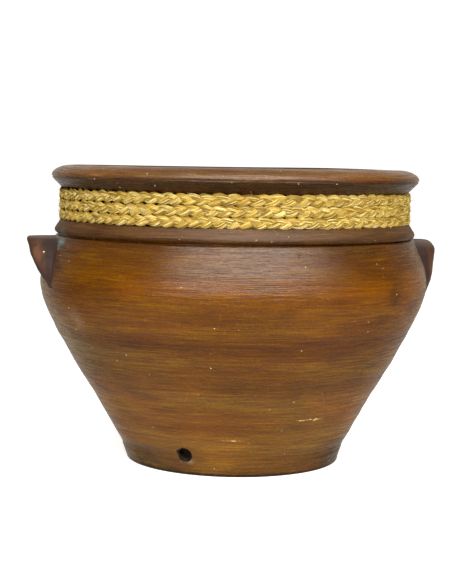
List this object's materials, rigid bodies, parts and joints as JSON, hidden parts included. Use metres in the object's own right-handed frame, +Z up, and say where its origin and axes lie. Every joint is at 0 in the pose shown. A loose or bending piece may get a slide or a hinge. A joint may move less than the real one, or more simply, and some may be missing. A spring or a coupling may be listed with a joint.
{
  "type": "ceramic planter",
  "caption": "Round-bellied stained terracotta planter with lug handles, a rolled rim, a drain hole and braided straw rope wound round its neck.",
  "frame": {"origin": "centre of the flat base, on the surface that the planter stands on", "axes": "+Z up through the mouth, +X from the left handle to the right handle, -Y towards the front, where the drain hole is"},
  "size_m": [0.4499, 0.422, 0.3193],
  "materials": {
    "pot_terracotta": "brown stained earthenware, satin, brushed round",
    "handle_terracotta": "red-brown stained earthenware, satin",
    "braid_straw": "plaited dry straw, golden",
    "binding_twine": "wound twine"
  },
  "bodies": {
    "root": {"pot_body": "pot_terracotta", "left_handle": "handle_terracotta", "right_handle": "handle_terracotta", "braided_rope": "braid_straw", "rope_start_binding": "binding_twine", "rope_end_binding": "binding_twine"}
  },
  "joints": []
}
